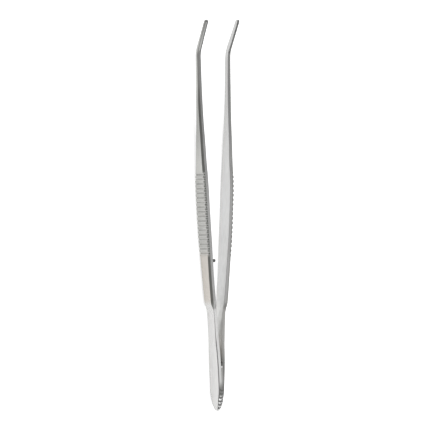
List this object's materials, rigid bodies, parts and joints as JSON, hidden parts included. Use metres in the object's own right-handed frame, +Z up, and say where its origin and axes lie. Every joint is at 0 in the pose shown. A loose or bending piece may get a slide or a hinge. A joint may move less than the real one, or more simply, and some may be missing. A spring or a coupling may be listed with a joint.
{
  "type": "aquascaping tweezers",
  "caption": "Long spring-arm tweezers with ribbed grips, a stop pin between the arms and fine tips bent out of the closing plane.",
  "frame": {"origin": "under the middle of the length, on the surface that the tweezers lie on, midway between the arms", "axes": "+Y from the heel to the tips, +X the way the right arm opens, +Z up with the tweezers lying on the side edges of their grips and the tips curving upwards"},
  "size_m": [0.0268, 0.25, 0.0173],
  "materials": {
    "satin_steel": "satin, polished along the arms",
    "braze_metal": "ground flush with the arms",
    "weld_metal": "bright rippled weld bead",
    "pin_steel": "turned, darker than the arms"
  },
  "bodies": {
    "heel": {"left_heel_leaf": "satin_steel", "right_heel_leaf": "satin_steel", "heel_wedge": "braze_metal", "end_weld": "weld_metal"},
    "left_arm": {"left_blade": "satin_steel", "stop_pin": "pin_steel"},
    "right_arm": {"right_blade": "satin_steel"}
  },
  "joints": [
    {"name": "left_flex", "type": "hinge", "parent": "heel", "child": "left_arm", "pos_m": [-0.00275, -0.072, 0.0056], "axis": [0, 0, -1], "range_deg": [0, 3.24], "stiffness_Nm_per_rad": 12},
    {"name": "right_flex", "type": "hinge", "parent": "heel", "child": "right_arm", "pos_m": [0.00275, -0.072, 0.0056], "axis": [0, 0, 1], "range_deg": [0, 3.24], "stiffness_Nm_per_rad": 12}
  ],
  "couplings": [
    {"joint": "right_flex", "follows": "left_flex", "ratio": 1}
  ]
}
